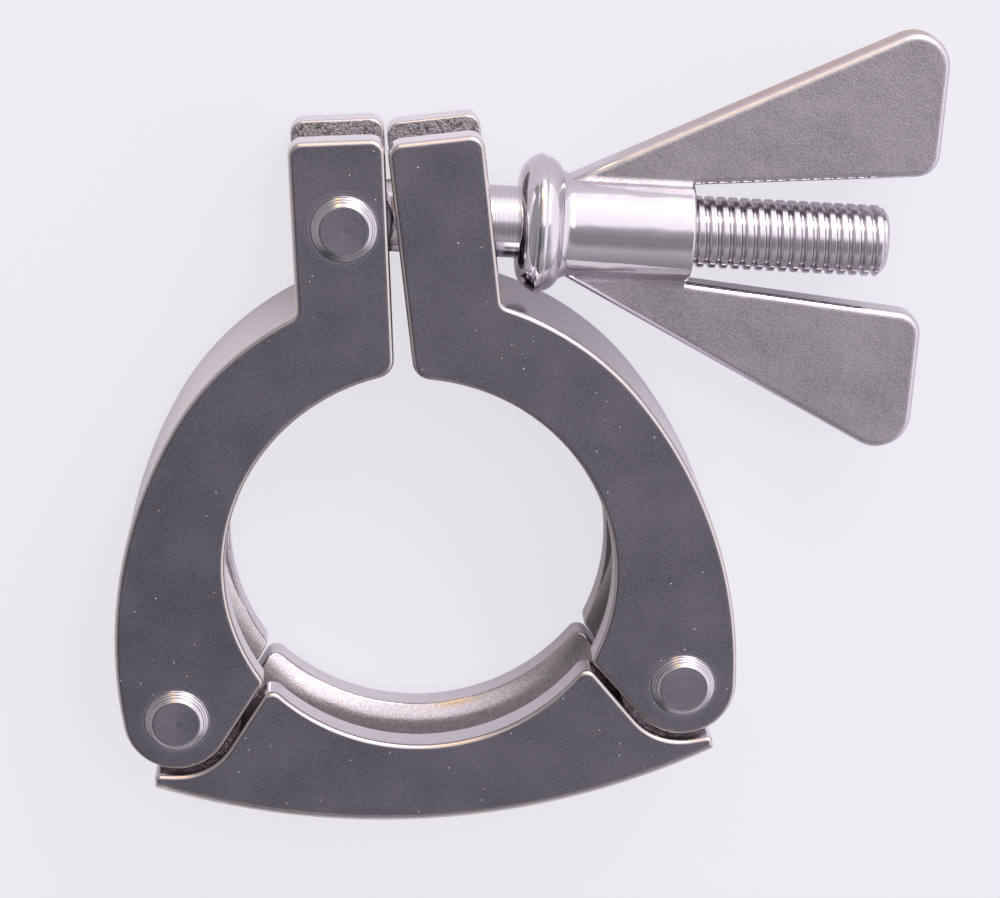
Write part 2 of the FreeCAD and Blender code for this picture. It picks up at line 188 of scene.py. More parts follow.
class ClampFinishes(bpy.types.PropertyGroup):
    """Colours of the clamp's finishes and of the floor."""

    ground_face: FloatVectorProperty(
        name="Ground face", description="Flat faces, ground and tumbled",
        subtype="COLOR", default=linear("#8f8a94"), min=0, max=1,
    )
    buffed_side: FloatVectorProperty(
        name="Buffed side", description="Sides, lips and fresh nicks, bright",
        subtype="COLOR", default=linear("#e6e1e6"), min=0, max=1,
    )
    rubbed_edge: FloatVectorProperty(
        name="Rubbed edge", description="Rounded edges of the faces, rubbed in tumbling",
        subtype="COLOR", default=linear("#cdc2bf"), min=0, max=1,
    )
    cast_recess: FloatVectorProperty(
        name="Cast recess", description="Groove and slots, where the cast skin is left",
        subtype="COLOR", default=linear("#c9c0c2"), min=0, max=1,
    )
    # The few golden nicks: a painted reflection of warm room light caught in the nicks.
    warm_glint_colour: FloatVectorProperty(
        name="Golden nick", description="The few nicks that glint warm",
        subtype="COLOR", default=linear("#e0bd86"), min=0, max=1,
    )
    blasted_wing: FloatVectorProperty(
        name="Blasted wing", description="Flat faces of the nut's wings, bead-blasted",
        subtype="COLOR", default=linear("#b4adb2"), min=0, max=1,
    )
    # The wing sides' brownish colour is a painted reflection of the shaded floor beside the wings.
    wing_side_painted_reflection: FloatVectorProperty(
        name="Wing side", description="Narrow sides of the wings, with a trace of heat tint",
        subtype="COLOR", default=linear("#c2aaa2"), min=0, max=1,
    )
    turned: FloatVectorProperty(
        name="Turned steel", description="Bolt, barrel and pins",
        subtype="COLOR", default=linear("#cdc8cc"), min=0, max=1,
    )
    floor: FloatVectorProperty(
        name="Floor", description="Plain pale floor",
        subtype="COLOR", default=linear("#f0edf4"), min=0, max=1,
    )


class StageSettings(bpy.types.PropertyGroup):
    """The camera and the lamps."""

    camera_at: FloatVectorProperty(
        name="Camera", description="Camera's place", subtype="TRANSLATION", unit="LENGTH",
        default=(0.00098, 0.12595, 0.35658),
    )
    camera_aim: FloatVectorProperty(
        name="Aim", description="Point in the middle of the picture", subtype="TRANSLATION",
        unit="LENGTH", default=(0.01175, 0.01119, 0.0),
    )
    camera_roll: FloatProperty(
        name="Roll", description="Turn of the camera about its own axis", subtype="ANGLE",
        default=math.radians(-3.305),
    )
    lens: FloatProperty(
        name="Lens", description="Focal length in mm", unit="CAMERA", default=99.0, min=10,
    )
    sensor_width: FloatProperty(
        name="Sensor", description="Width of the picture in mm", unit="CAMERA", default=36.0, min=5,
    )
    softbox_power: FloatProperty(
        name="Softbox", description="Soft lamp behind on the right", unit="POWER",
        default=1.5, min=0,
    )
    warm_power: FloatProperty(
        name="Warm panel", description="Small warm lamp behind", unit="POWER", default=0.2, min=0,
    )


def add_node(tree, kind, inputs=None, **settings):
    """Add a node with its settings, give its inputs values or links, and return its outputs."""
    node = tree.nodes.new(kind)
    for name, value in settings.items():
        setattr(node, name, value)
    for key, value in (inputs or {}).items():
        if isinstance(value, bpy.types.NodeSocket):
            tree.links.new(value, node.inputs[key])
        else:
            node.inputs[key].default_value = value
    return node.outputs


def new_metal(name):
    """A metal to be given colour, roughness and relief, with its node tree and shader."""
    material = bpy.data.materials.new(name)
    material.use_nodes = True
    tree = material.node_tree
    shader = tree.nodes["Principled BSDF"]
    shader.inputs["Metallic"].default_value = 1.0
    return material, tree, shader


def dress(tree, shader, colour, rough, relief):
    """Link a finish's colour, roughness and relief to its shader."""
    for result, name in ((colour, "Base Color"), (rough, "Roughness"), (relief, "Normal")):
        tree.links.new(result, shader.inputs[name])


def surface(tree):
    """Where a point of a piece lies, in millimetres, and which way its surface faces."""
    point = add_node(tree, "ShaderNodeTexCoord")
    place = add_node(
        tree, "ShaderNodeVectorMath", {0: point["Object"], "Scale": 1 / MM}, operation="SCALE",
    )[0]
    return place, point["Normal"]


def facing_share(tree, facing, start, end):
    """From 0 to 1 as the surface turns between two shares of facing straight up or down."""
    upright = add_node(tree, "ShaderNodeSeparateXYZ", {0: facing})[2]
    upright = add_node(tree, "ShaderNodeMath", {0: upright}, operation="ABSOLUTE")[0]
    return add_node(
        tree, "ShaderNodeMapRange", {"Value": upright, "From Min": start, "From Max": end},
        interpolation_type="SMOOTHSTEP",
    )[0]


def groove_and_slots(tree, place, level, facing):
    """1 in the groove for the ferrules, then 1 in the slots of the ears and of the hinges."""
    parts = add_node(tree, "ShaderNodeSeparateXYZ", {0: place})
    depth = add_node(tree, "ShaderNodeMath", {0: parts[2]}, operation="ABSOLUTE")[0]
    outward = add_node(
        tree, "ShaderNodeVectorMath", {0: level, 1: facing}, operation="DOT_PRODUCT",
    )["Value"]

    # Each place as what tells it, where it begins and is full, and its reach from the middle.
    places = [(outward, GROOVE, GROOVE_HALF), (parts[1], EAR_SLOT, EAR_SLOT_HALF)]
    for node in HINGE_PINS:
        hinge = centre(node) / MM
        apart = add_node(
            tree, "ShaderNodeVectorMath", {0: level, 1: (hinge.x, hinge.y, 0)},
            operation="DISTANCE",
        )["Value"]
        places.append((apart, HINGE_SLOT, HINGE_SLOT_HALF))

    shares = []
    for told_by, (start, end), half in places:
        there = add_node(
            tree, "ShaderNodeMapRange", {"Value": told_by, "From Min": start, "From Max": end},
            interpolation_type="SMOOTHSTEP",
        )[0]
        within = add_node(
            tree, "ShaderNodeMapRange",
            {"Value": depth, "From Min": half + RECESS_EDGE, "From Max": half - RECESS_EDGE},
        )[0]
        both = add_node(tree, "ShaderNodeMath", {0: there, 1: within}, operation="MULTIPLY")[0]
        shares.append(both)
    groove, slots = shares[0], shares[1]
    for share in shares[2:]:
        slots = add_node(tree, "ShaderNodeMath", {0: slots, 1: share}, operation="MAXIMUM")[0]
    return groove, slots


def tumbled_grain(tree, place, size, contrast):
    """Fine dents left by tumbling stones or beads, from 0 in the darkest to 1 in the brightest."""
    noise = add_node(
        tree, "ShaderNodeTexNoise",
        {"Vector": place, "Scale": 1 / size, "Detail": 3.0, "Roughness": 0.7},
    )["Fac"]
    return add_node(
        tree, "ShaderNodeMapRange",
        {"Value": noise, "From Min": 0.5 - contrast, "From Max": 0.5 + contrast},
        interpolation_type="SMOOTHSTEP",
    )[0]


def nicks(tree, place, spacing, size, share):
    """Round nicks, at most one to a cell and only in a share of the cells, and a chance for each."""
    cells = add_node(
        tree, "ShaderNodeTexVoronoi", {"Vector": place, "Scale": 1 / spacing}, feature="F1",
    )
    rim, bottom = size / spacing, size / spacing * 0.4
    near = add_node(
        tree, "ShaderNodeMapRange",
        {"Value": cells["Distance"], "From Min": rim, "From Max": bottom},
        interpolation_type="SMOOTHSTEP",
    )[0]
    chance = add_node(tree, "ShaderNodeSeparateColor", {0: cells["Color"]})
    kept = add_node(tree, "ShaderNodeMath", {0: chance[0], 1: share}, operation="LESS_THAN")[0]
    nick = add_node(tree, "ShaderNodeMath", {0: near, 1: kept}, operation="MULTIPLY")[0]
    return nick, chance[1]


def pressed_rings(tree, level):
    """Faint rings round the pins' heads, where the tool that formed the heads bore on the face."""
    rings = 0.0
    for node in PIN_BODIES:
        pin = centre(node) / MM
        apart = add_node(
            tree, "ShaderNodeVectorMath", {0: level, 1: (pin.x, pin.y, 0)}, operation="DISTANCE",
        )["Value"]
        for radius, width, strength in PRESSED_RINGS:
            off = add_node(tree, "ShaderNodeMath", {0: apart, 1: radius}, operation="SUBTRACT")[0]
            off = add_node(tree, "ShaderNodeMath", {0: off}, operation="ABSOLUTE")[0]
            ring = add_node(
                tree, "ShaderNodeMapRange",
                {"Value": off, "From Min": width, "From Max": 0.0, "To Max": strength},
                interpolation_type="SMOOTHSTEP",
            )[0]
            rings = add_node(tree, "ShaderNodeMath", {0: rings, 1: ring}, operation="MAXIMUM")[0]
    return rings


def cast_stainless(finishes):
    """Investment-cast stainless steel, ground flat, tumbled, and buffed round its sides."""
    # The eye gets dark lilac-grey satin faces with fine dents and nicks, whose bright colour is a
    # painted highlight and in a few a warm painted reflection, soft warm edges where tumbling rubbed
    # them round, sides that mirror the room with the slight wave of hand buffing, a half-polished
    # groove, and slots with the grainy cast skin.
    material, tree, shader = new_metal("cast_stainless_tumbled_and_buffed")

    # Sizes in millimetres. Tumbling stones leave dents of about 0.1 mm, drawn 0.24 mm across to
    # show at all. The cast skin has grains of about half a millimetre, buffed away to a faint
    # mottle in the groove.
    dent, skin_grain, clouding, wave = 0.24, 0.42, 8.0, 9.0
    nick_spacing, nick_size = 1.5, 0.13
    lip_rounding, flank_dish = (30.0, 27.5), (27.0, 35.0)
    side_rough, edge_rough, nick_rough, groove_rough, slot_rough = 0.12, 0.24, 0.15, 0.11, 0.32
    face_rough_least, face_rough_most = 0.30, 0.35

    place, facing = surface(tree)
    level = add_node(
        tree, "ShaderNodeVectorMath", {0: place, 1: (1, 1, 0)}, operation="MULTIPLY",
    )[0]
    flat = facing_share(tree, facing, *EDGE_TO_FACE)
    edge = facing_share(tree, facing, *SIDE_TO_EDGE)
    groove, slots = groove_and_slots(tree, place, level, facing)
    cloud = add_node(
        tree, "ShaderNodeTexNoise", {"Vector": place, "Scale": 1 / clouding, "Detail": 2.0},
    )["Fac"]
    dents = tumbled_grain(tree, place, dent, contrast=0.24)
    skin = tumbled_grain(tree, place, skin_grain, contrast=0.14)
    nick, chance = nicks(tree, place, nick_spacing, nick_size, share=0.40)
    rings = pressed_rings(tree, level)

    # Each mottle as its pattern, its colour, and how dark and how pale it makes that colour.
    mottles = (
        (dents, finishes.ground_face, 0.70, 1.20),
        (skin, finishes.cast_recess, 0.84, 1.04),
        (skin, finishes.cast_recess, 0.40, 0.95),
    )
    face, groove_colour, slot_colour = (
        add_node(
            tree, "ShaderNodeMix",
            {"Factor": pattern, COLOUR_A: shade(colour, dark), COLOUR_B: shade(colour, pale)},
            data_type="RGBA",
        )[COLOUR_OUT]
        for pattern, colour, dark, pale in mottles
    )

    # The face is clouded, nicked and ringed. The nicks are painted brighter than the buffed sides
    # as a painted highlight, and one nick in five takes a golden painted reflection of warm light.
    clouded = add_node(
        tree, "ShaderNodeMapRange",
        {"Value": cloud, "From Min": 0.3, "From Max": 0.7, "To Max": 0.30},
    )[0]
    golden = add_node(tree, "ShaderNodeMath", {0: chance, 1: 0.80}, operation="GREATER_THAN")[0]
    plain_glint, golden_glint = shade(finishes.buffed_side, 1.3), shade(finishes.warm_glint_colour, 1.2)
    glint = add_node(
        tree, "ShaderNodeMix", {"Factor": golden, COLOUR_A: plain_glint, COLOUR_B: golden_glint},
        data_type="RGBA",
    )[COLOUR_OUT]
    ringed = add_node(tree, "ShaderNodeMath", {0: rings, 1: 0.30}, operation="MULTIPLY")[0]
    pale_face, bright = shade(finishes.ground_face, 1.5), shade(finishes.buffed_side)
    for share, its_colour in ((clouded, pale_face), (nick, glint), (ringed, bright)):
        face = add_node(
            tree, "ShaderNodeMix", {"Factor": share, COLOUR_A: face, COLOUR_B: its_colour},
            data_type="RGBA",
        )[COLOUR_OUT]
    face_rough = add_node(
        tree, "ShaderNodeMapRange", {
            "Value": cloud, "From Min": 0.35, "From Max": 0.65,
            "To Min": face_rough_least, "To Max": face_rough_most,
        },
    )[0]
    face_rough = add_node(
        tree, "ShaderNodeMix", {"Factor": nick, NUMBER_A: face_rough, NUMBER_B: nick_rough},
    )[0]

    # From the sides on, each surface as its share, its colour and its roughness.
    surfaces = (
        (edge, shade(finishes.rubbed_edge), edge_rough),
        (flat, face, face_rough),
        (groove, groove_colour, groove_rough),
        (slots, slot_colour, slot_rough),
    )
    colour, rough = bright, side_rough
    for share, its_colour, its_rough in surfaces:
        colour = add_node(
            tree, "ShaderNodeMix", {"Factor": share, COLOUR_A: colour, COLOUR_B: its_colour},
            data_type="RGBA",
        )[COLOUR_OUT]
        rough = add_node(
            tree, "ShaderNodeMix", {"Factor": share, NUMBER_A: rough, NUMBER_B: its_rough},
        )[0]

    # Buffing rounds the groove's flank towards its lip and dishes it behind.
    from_axis = add_node(tree, "ShaderNodeVectorMath", {0: level}, operation="LENGTH")["Value"]
    near_lip, dish = (
        add_node(
            tree, "ShaderNodeMapRange", {"Value": from_axis, "From Min": start, "From Max": end},
        )[0]
        for start, end in (lip_rounding, flank_dish)
    )
    rounding = add_node(tree, "ShaderNodeMath", {0: near_lip, 1: 2.0}, operation="POWER")[0]
    buffing_wave = add_node(
        tree, "ShaderNodeTexNoise", {"Vector": place, "Scale": 1 / wave, "Detail": 0.0},
    )["Fac"]

    # Each relief as its height, its depth in millimetres and where it is found. Below 0 it sinks.
    reliefs = (
        (buffing_wave, 0.09, 1.0), (dents, 0.008, flat), (skin, 0.05, slots),
        (skin, 0.002, groove), (rounding, -0.28, groove), (dish, -0.50, groove),
        (nick, -0.04, flat),
    )
    # They start from the normal in the piece's own frame, which is the world's while it is at rest.
    relief = facing
    for height, depth, share in reliefs:
        relief = add_node(tree, "ShaderNodeBump", {
            "Height": height, "Distance": abs(depth) * MM, "Strength": share, "Normal": relief,
        }, invert=depth < 0)[0]
    dress(tree, shader, colour, rough, relief)
    return material


def distance_from_bolt(tree, place):
    """How far a point lies from the bolt's axis, in millimetres."""
    along = bolt_axis()
    pivot = Vector(joint("bolt_swing")["pos_m"]) / MM
    apart = add_node(tree, "ShaderNodeVectorMath", {0: place, 1: pivot}, operation="SUBTRACT")[0]
    length = add_node(
        tree, "ShaderNodeVectorMath", {0: apart, 1: along}, operation="DOT_PRODUCT",
    )["Value"]
    foot = add_node(
        tree, "ShaderNodeVectorMath", {0: along, "Scale": length}, operation="SCALE",
    )[0]
    return add_node(
        tree, "ShaderNodeVectorMath", {0: apart, 1: foot}, operation="DISTANCE",
    )["Value"]


def nut_stainless(finishes):
    """Cast stainless steel nut with a turned and buffed barrel and bead-blasted wings."""
    # The eye gets a mirror-bright barrel and collar, even grey sparkling wings with rims rubbed
    # bright, and narrow wing sides painted brownish as a painted reflection of the shaded floor.
    material, tree, shader = new_metal("cast_stainless_blasted_and_buffed")

    # Sizes in millimetres. The beads' dents are about 0.1 mm, drawn 0.24 mm across to show at all.
    # The casting swells into the barrel over 0.9 mm where a wing's flat side meets it.
    dent, sparkle_spacing, sparkle_size, clouding, wave = 0.24, 0.9, 0.12, 7.0, 4.0
    wing_half = 2.4
    # The brown painted reflection on the wing sides grows from 9 to 18 mm off the bolt's axis.
    past_barrel, brown_reflection_reach, cove_radius = (9.4, 9.9), (9.0, 18.0), (7.75, 6.85)
    barrel_rough, side_rough, wing_rough = 0.09, 0.34, 0.42
    edge_to_side = (0.45, 0.05)

    place, facing = surface(tree)
    radius = distance_from_bolt(tree, place)
    flat = facing_share(tree, facing, *EDGE_TO_FACE)
    depth = add_node(tree, "ShaderNodeSeparateXYZ", {0: place})[2]
    depth = add_node(tree, "ShaderNodeMath", {0: depth}, operation="ABSOLUTE")[0]
    on_wing = add_node(
        tree, "ShaderNodeMath", {0: depth, 1: wing_half}, operation="LESS_THAN",
    )[0]
    blasted = add_node(tree, "ShaderNodeMath", {0: flat, 1: on_wing}, operation="MULTIPLY")[0]

    dents = tumbled_grain(tree, place, dent, contrast=0.16)
    cloud = add_node(
        tree, "ShaderNodeTexNoise", {"Vector": place, "Scale": 1 / clouding, "Detail": 3.0},
    )["Fac"]
    clouded = add_node(
        tree, "ShaderNodeMapRange",
        {"Value": cloud, "From Min": 0.3, "From Max": 0.7, "To Max": 0.45},
    )[0]
    sparkle = nicks(tree, place, sparkle_spacing, sparkle_size, share=0.22)[0]
    wing = shade(finishes.blasted_wing, 0.74)
    for share, its_colour in (
        (dents, shade(finishes.blasted_wing, 1.16)),
        (clouded, shade(finishes.blasted_wing, 1.35)),
        (sparkle, shade(finishes.turned, 1.2)),
    ):
        wing = add_node(
            tree, "ShaderNodeMix", {"Factor": share, COLOUR_A: wing, COLOUR_B: its_colour},
            data_type="RGBA",
        )[COLOUR_OUT]

    side = facing_share(tree, facing, *edge_to_side)
    beyond_barrel, brown_reflection_share, cove = (
        add_node(
            tree, "ShaderNodeMapRange", {"Value": radius, "From Min": start, "From Max": end},
        )[0]
        for start, end in (past_barrel, brown_reflection_reach, cove_radius)
    )
    # Wing sides away from the barrel get a brown painted reflection of the shaded floor beside them.
    brown_reflected_side = add_node(tree, "ShaderNodeMath", {0: side, 1: brown_reflection_share}, operation="MULTIPLY")[0]
    colour = shade(finishes.turned)
    for share, its_colour in ((brown_reflected_side, shade(finishes.wing_side_painted_reflection)), (blasted, wing)):
        colour = add_node(
            tree, "ShaderNodeMix", {"Factor": share, COLOUR_A: colour, COLOUR_B: its_colour},
            data_type="RGBA",
        )[COLOUR_OUT]
    rough = barrel_rough
    for share, its_rough in ((beyond_barrel, side_rough), (blasted, wing_rough)):
        rough = add_node(
            tree, "ShaderNodeMix", {"Factor": share, NUMBER_A: rough, NUMBER_B: its_rough},
        )[0]

    # Each relief as its height, its depth in millimetres and where it is found.
    cove = add_node(tree, "ShaderNodeMath", {0: cove, 1: 2.0}, operation="POWER")[0]
    buffing_wave = add_node(
        tree, "ShaderNodeTexNoise", {"Vector": place, "Scale": 1 / wave, "Detail": 1.0},
    )["Fac"]
    relief = add_node(tree, "ShaderNodeNewGeometry")["Normal"]
    for height, depth, share in (
        (buffing_wave, 0.11, 1.0), (cove, 0.45, blasted), (dents, 0.014, blasted),
    ):
        relief = add_node(tree, "ShaderNodeBump", {
            "Height": height, "Distance": depth * MM, "Strength": share, "Normal": relief,
        })[0]
    dress(tree, shader, colour, rough, relief)
    return material


def turned_stainless(name, finishes, along_x):
    """Bar stainless steel turned in a lathe, about the piece's own X axis or its Z axis."""
    # The eye gets bright steel with fine rings round its axis, which break up the edge of every
    # reflection, and on the pins darker flat tops.
    material, tree, shader = new_metal(name)

    # Sizes in millimetres. Tool marks are about 0.1 mm apart, and are drawn 0.22 mm apart to show.
    mark_spacing, mark_depth, dent, smearing = 0.22, 0.008, 0.26, 3.0

    place, facing = surface(tree)
    if along_x:
        across_marks = add_node(tree, "ShaderNodeSeparateXYZ", {0: place})[0]
    else:
        level = add_node(
            tree, "ShaderNodeVectorMath", {0: place, 1: (1, 1, 0)}, operation="MULTIPLY",
        )[0]
        across_marks = add_node(
            tree, "ShaderNodeVectorMath", {0: level}, operation="LENGTH",
        )["Value"]
    marks = add_node(
        tree, "ShaderNodeTexNoise",
        {"W": across_marks, "Scale": 1 / mark_spacing, "Detail": 2.0}, noise_dimensions="1D",
    )["Fac"]
    marked = add_node(
        tree, "ShaderNodeMapRange",
        {"Value": marks, "From Min": 0.35, "From Max": 0.70, "To Max": 0.5},
        interpolation_type="SMOOTHSTEP",
    )[0]
    layers = [(marked, shade(finishes.turned, 0.72))]
    if not along_x:
        dents = tumbled_grain(tree, place, dent, contrast=0.20)
        top = add_node(
            tree, "ShaderNodeMix", {
                "Factor": dents, COLOUR_A: shade(finishes.ground_face, 1.20),
                COLOUR_B: shade(finishes.ground_face, 1.80),
            }, data_type="RGBA",
        )[COLOUR_OUT]
        layers.append((facing_share(tree, facing, *EDGE_TO_FACE), top))
    colour = shade(finishes.turned)
    for share, its_colour in layers:
        colour = add_node(
            tree, "ShaderNodeMix", {"Factor": share, COLOUR_A: colour, COLOUR_B: its_colour},
            data_type="RGBA",
        )[COLOUR_OUT]
    smear = add_node(
        tree, "ShaderNodeTexNoise", {"Vector": place, "Scale": 1 / smearing, "Detail": 3.0},
    )["Fac"]
    rough = add_node(
        tree, "ShaderNodeMapRange",
        {"Value": smear, "From Min": 0.3, "From Max": 0.7, "To Min": 0.13, "To Max": 0.24},
    )[0]
    relief = add_node(tree, "ShaderNodeBump", {"Height": marks, "Distance": mark_depth * MM})[0]
    dress(tree, shader, colour, rough, relief)
    return material


def give(piece, material):
    """Give a piece one material."""
    piece.data.materials.clear()
    piece.data.materials.append(material)


def turn_outline(build, outline, steps, about_x):
    """Turn an outline of (along, radius) points, in millimetres, round the X axis or the Z axis."""
    rings = []
    for along, radius in outline:
        ring = []
        for i in range(steps if radius > 0 else 1):
            angle = 2 * math.pi * i / steps
            side = (radius * math.cos(angle), radius * math.sin(angle))
            place = (along, *side) if about_x else (*side, along)
            ring.append(build.verts.new([c * MM for c in place]))
        rings.append(ring)
    for first, second in zip(rings, rings[1:]):
        for i in range(steps):
            round_face = list(dict.fromkeys((
                first[i % len(first)], first[(i + 1) % len(first)],
                second[(i + 1) % len(second)], second[i % len(second)],
            )))
            if len(round_face) > 2:
                build.faces.new(round_face)


def finish_mesh(name, build, sharp):
    """Make an object of a bmesh, smooth where its faces meet at less than the sharp angle."""
    bmesh.ops.remove_doubles(build, verts=build.verts, dist=WELD)
    bmesh.ops.recalc_face_normals(build, faces=build.faces)
    mesh = bpy.data.meshes.new(name)
    build.to_mesh(mesh)
    build.free()
    mesh.shade_smooth()
    mesh.set_sharp_from_angle(angle=math.radians(sharp))
    piece = bpy.data.objects.new(name, mesh)
    bpy.context.scene.collection.objects.link(piece)
    return piece


def thread_phases(sizes):
    """Places along one turn, as shares of the pitch, with the crest in the middle at 0.5."""
    crest = sizes.crest / 2
    foot = crest + sizes.thread_depth * math.tan(FLANK_ANGLE) / sizes.thread_pitch
    # Rows close to the flank's two ends keep those corners tight under smooth shading.
    steps = [0.5, foot, foot - 0.03, (crest + foot) / 2, crest + 0.03, crest, crest - 0.05]
    return sorted({0.5 - s for s in steps} | {0.5 + s for s in steps[1:]} | {0.5})


def thread_drop(phase, sizes):
    """Depth below the crest at a share of the pitch: 60 degree flanks, rounded at the crest."""
    slope = sizes.thread_pitch / math.tan(FLANK_ANGLE)
    drop = (abs(phase - 0.5) - sizes.crest / 2) * slope
    if drop <= 0:
        return 0.0
    if drop < CREST_ROUNDING:
        return drop * drop / CREST_ROUNDING
    return min(drop, sizes.thread_depth)


def cut_thread(build, sizes):
    """A right-hand thread from its start to the bolt's end, as one grid along the helix."""
    radius = sizes.shank_d / 2
    pitch = sizes.thread_pitch
    start, end = sizes.thread_start, sizes.bolt_reach
    steps = sizes.round_steps
    run_in_turns = 1.5
    grid = []
    for turn in range(math.floor(start / pitch) - 1, math.ceil(end / pitch) + 1):
        for phase in thread_phases(sizes):
            row = []
            for i in range(steps + 1):
                angle = 2 * math.pi * i / steps
                along = min(max((turn + phase + i / steps) * pitch, start), end)
                share = (along / pitch - i / steps) % 1.0
                run_in = min((along - start) / (run_in_turns * pitch), 1.0)
                cut = radius - thread_drop(share, sizes) * run_in
                chamfer = sizes.end_chamfer * max(0.0, 1 - (end - along) / sizes.end_chamfer)
                out = min(cut, radius - chamfer) * MM
                row.append(build.verts.new(
                    (along * MM, out * math.cos(angle), out * math.sin(angle))
                ))
            grid.append(row)
    for lower, upper in zip(grid, grid[1:]):
        for i in range(steps):
            build.faces.new((lower[i], lower[i + 1], upper[i + 1], upper[i]))
    bmesh.ops.remove_doubles(build, verts=build.verts, dist=WELD)
    bmesh.ops.dissolve_degenerate(build, edges=build.edges, dist=WELD)
    near_end = (end - 0.01) * MM
    rims = [
        e for e in build.edges if e.is_boundary and all(v.co.x > near_end for v in e.verts)
    ]
    bmesh.ops.holes_fill(build, edges=rims, sides=0)


class SANITARY_CLAMP_OT_segments(bpy.types.Operator):
    """Give the three cast segments their ground, buffed and cast surfaces"""

    bl_idname = "sanitary_clamp.segments"
    bl_label = "Finish the segments"

    def execute(self, context):
        steel = cast_stainless(context.scene.clamp_finishes)
        for node in SEGMENTS:
            give(frame["nodes"][node], steel)
        return {"FINISHED"}


class SANITARY_CLAMP_OT_pins(bpy.types.Operator):
    """Turn the three headed pins, with the rings that forming left on their heads"""

    bl_idname = "sanitary_clamp.pins"
    bl_label = "Turn the pins"

    RIDGES = 3

    def execute(self, context):
        sizes = context.scene.clamp_sizes
        finishes = context.scene.clamp_finishes
        steel = turned_stainless("turned_stainless_pin", finishes, along_x=False)
        for node, body in PIN_BODIES.items():
            build = bmesh.new()
            turn_outline(build, self.outline(sizes), sizes.round_steps, about_x=False)
            pin = finish_mesh(node + "_turned", build, sharp=35)
            give(pin, steel)
            pin.matrix_world = Matrix.Translation(centre(node))
            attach(pin, body)
            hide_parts(node)
        return {"FINISHED"}

    def outline(self, sizes):
        """The pin's outline from its lower end to its upper one."""
        half = sizes.clamp_depth / 2
        foot, crown = sizes.head_d / 2, sizes.head_top_d / 2
        top = half + sizes.head_h

        # The head stands on a low bevelled foot, climbs in ridges and ends in a rounded crown.
        upper = [(half, sizes.pin_d / 2), (half, foot), (half + 0.12, foot)]
        ridge_z, ridge_r = half + 0.22, foot - 0.10
        rise = (top - 0.20 - ridge_z) / self.RIDGES
        fall = (ridge_r - crown - 0.15) / self.RIDGES
        upper.append((ridge_z, ridge_r))
        for i in range(self.RIDGES):
            z, r = ridge_z + i * rise, ridge_r - i * fall
            for up, inward in ((0.50, 0.15), (0.78, 0.40), (1.0, 1.0)):
                upper.append((z + rise * up, r - fall * inward))
        upper += [(top - 0.10, crown + 0.06), (top - 0.03, crown - 0.03), (top, crown - 0.14)]

        # The forming tool left a shallow dish in the crown, with a dimple in the middle.
        upper += [
            (top - 0.03, crown - 0.40), (top - 0.04, 0.9), (top - 0.06, 0.55),
            (top - 0.09, 0.25), (top - 0.09, 0),
        ]
        return [(-along, radius) for along, radius in reversed(upper)] + upper


class SANITARY_CLAMP_OT_bolt(bpy.types.Operator):
    """Make the swing bolt with its eye, plain shank and real thread"""

    bl_idname = "sanitary_clamp.bolt"
    bl_label = "Cut the bolt's thread"

    def execute(self, context):
        sizes = context.scene.clamp_sizes
        finishes = context.scene.clamp_finishes
        radius, start = sizes.shank_d / 2, sizes.thread_start
        build = bmesh.new()
        cut_thread(build, sizes)
        plain = [(0.0, radius), (start / 2, radius), (start, radius)]
        turn_outline(build, plain, sizes.round_steps, about_x=True)
        shank = finish_mesh("swing_bolt_threaded", build, sharp=50)
        build = bmesh.new()
        turn_outline(build, self.eye_outline(sizes), sizes.round_steps, about_x=False)
        eye = finish_mesh("swing_bolt_eye", build, sharp=35)
        steel = turned_stainless("turned_stainless_bolt", finishes, along_x=True)
        for piece in (shank, eye):
            give(piece, steel)
            piece.matrix_world = bolt_place()
            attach(piece, "bolt")
        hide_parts("swing_bolt")
        return {"FINISHED"}

    def eye_outline(self, sizes):
        """The eye's outline from its bore, round its lower and upper rims and back."""
        half, rim, bore = sizes.eye_t / 2, sizes.eye_d / 2, sizes.eye_bore / 2
        edge = sizes.eye_edge
        corner = [
            (half - edge + edge * math.sin(angle), rim - edge + edge * math.cos(angle))
            for angle in (math.radians(degrees) for degrees in range(0, 91, 18))
        ]
        upper = corner + [(half, bore)]
        lower = [(-along, radius) for along, radius in reversed(upper)]
        return [(0.0, bore)] + lower + upper + [(0.0, bore)]


class SANITARY_CLAMP_OT_nut(bpy.types.Operator):
    """Give the wing nut its buffed barrel and blasted wings"""

    bl_idname = "sanitary_clamp.nut"
    bl_label = "Finish the wing nut"

    def execute(self, context):
        give(frame["nodes"]["wing_nut"], nut_stainless(context.scene.clamp_finishes))
        return {"FINISHED"}


